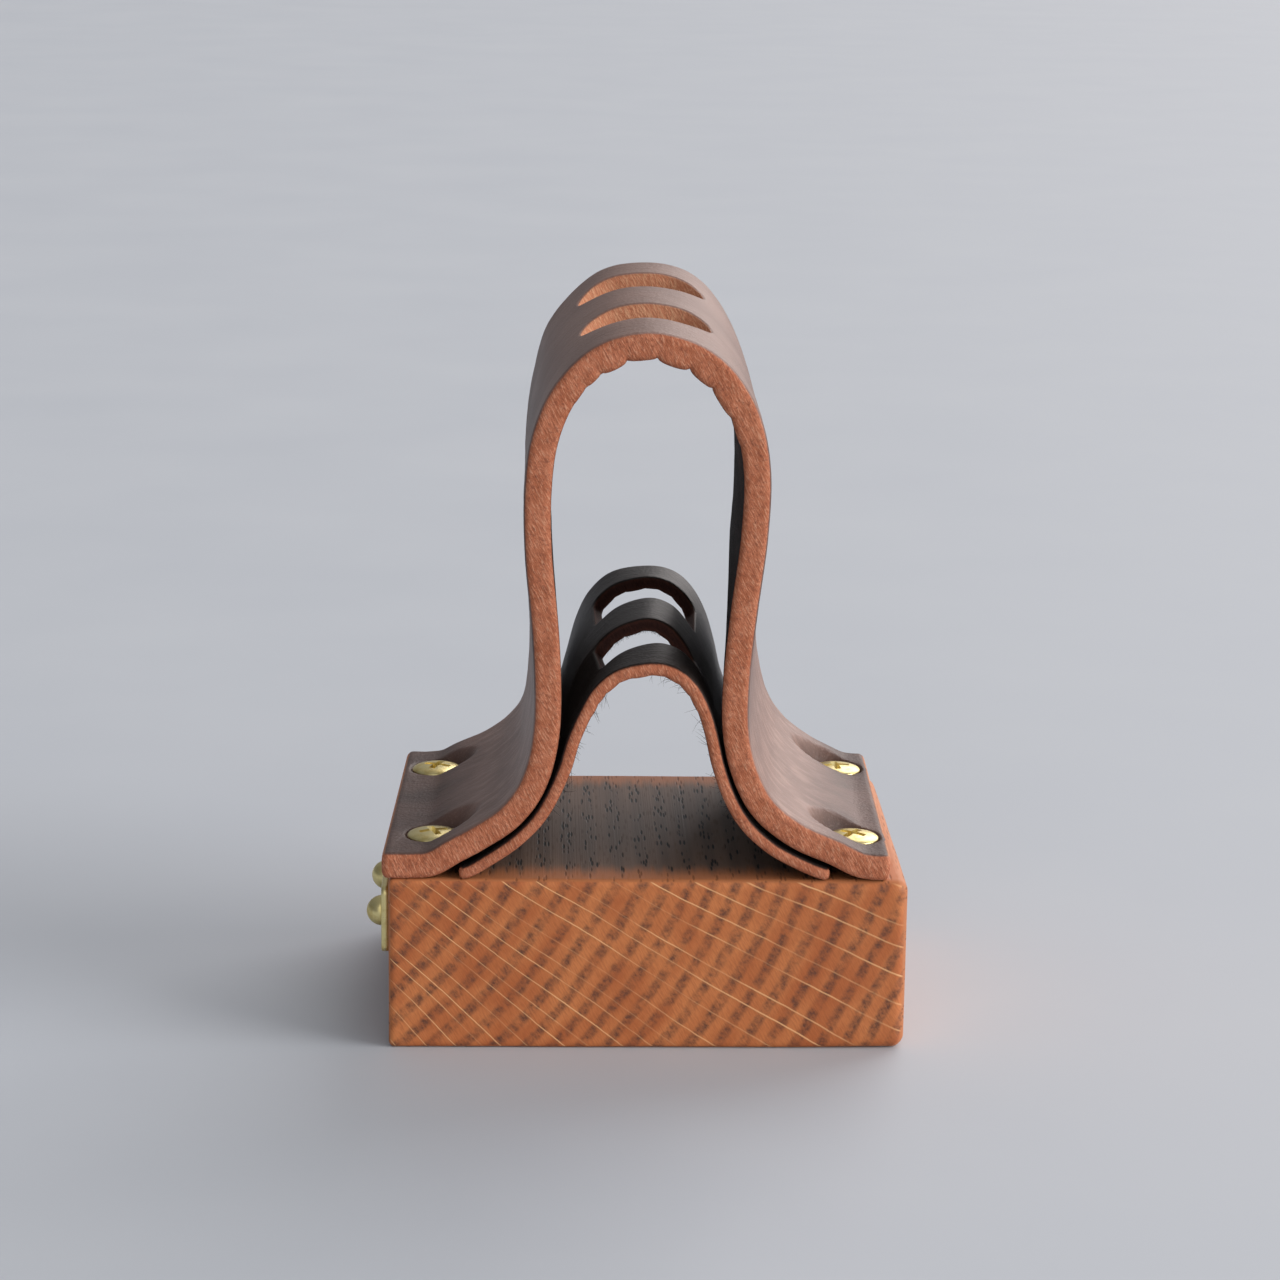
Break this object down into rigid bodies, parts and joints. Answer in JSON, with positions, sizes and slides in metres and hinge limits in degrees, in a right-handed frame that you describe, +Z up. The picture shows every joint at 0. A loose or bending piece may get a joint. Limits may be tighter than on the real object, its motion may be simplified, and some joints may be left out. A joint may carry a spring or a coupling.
{
  "type": "desk pen stand",
  "caption": "Small desk stand: an oak block carries a thick leather arch screwed down over a thin leather arch, both slotted across the crown for slim upright things.",
  "frame": {"origin": "centre of the oak block's underside, where the stand rests", "axes": "+Z up, the front with the open arch faces -Y, +X to the right as seen from the front"},
  "size_m": [0.0629, 0.045, 0.086],
  "materials": {
    "oak": "fine sanded, oiled",
    "leather": "dyed hair side, natural cut edges",
    "brass": "polished, slightly aged"
  },
  "bodies": {
    "root": {"oak_block": "oak", "outer_arch": "leather", "inner_arch": "leather", "screw_front_left": "brass", "screw_front_right": "brass", "screw_back_left": "brass", "screw_back_right": "brass", "label_plate": "brass", "plate_pin_front": "brass", "plate_pin_back": "brass"}
  },
  "joints": []
}
